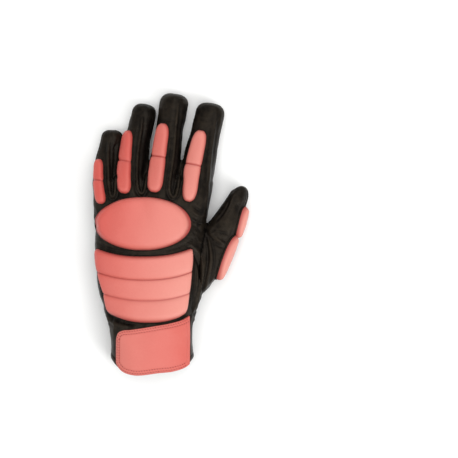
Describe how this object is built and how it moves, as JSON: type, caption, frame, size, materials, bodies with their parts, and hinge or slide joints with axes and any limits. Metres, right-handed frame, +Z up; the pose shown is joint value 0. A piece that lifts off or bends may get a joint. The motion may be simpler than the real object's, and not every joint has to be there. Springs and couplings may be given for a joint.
{
  "type": "ski racing glove",
  "caption": "Hollow padded leather glove for the left hand, lying on its palm, with foam pads on the knuckles, back, fingers and thumb and a wide strap on its short cuff.",
  "frame": {"origin": "middle of the bounding box, at the height that the palm rests on", "axes": "+Y from the cuff to the fingertips, +X towards the thumb, +Z up out of the back of the hand"},
  "size_m": [0.1598, 0.2838, 0.0582],
  "materials": {
    "leather": "supple black leather with a soft sheen",
    "coral_leather": "matt coral leather over foam"
  },
  "bodies": {
    "root": {"back_panel": "leather", "palm_panel": "leather", "index_finger_back": "leather", "index_finger_front": "leather", "middle_finger_back": "leather", "middle_finger_front": "leather", "ring_finger_back": "leather", "ring_finger_front": "leather", "little_finger_back": "leather", "little_finger_front": "leather", "fourchette_middle_index": "leather", "fourchette_ring_middle": "leather", "fourchette_little_ring": "leather", "thumb_back": "leather", "thumb_front": "leather", "cuff": "leather", "cuff_binding": "leather", "palm_patch": "leather", "cuff_patch": "leather", "closure_strap": "coral_leather", "knuckle_pad": "coral_leather", "hand_pad": "coral_leather", "index_finger_pad": "coral_leather", "middle_finger_pad": "coral_leather", "ring_finger_pad": "coral_leather", "little_finger_pad": "coral_leather", "thumb_base_pad": "coral_leather", "thumb_tip_pad": "coral_leather"}
  },
  "joints": []
}
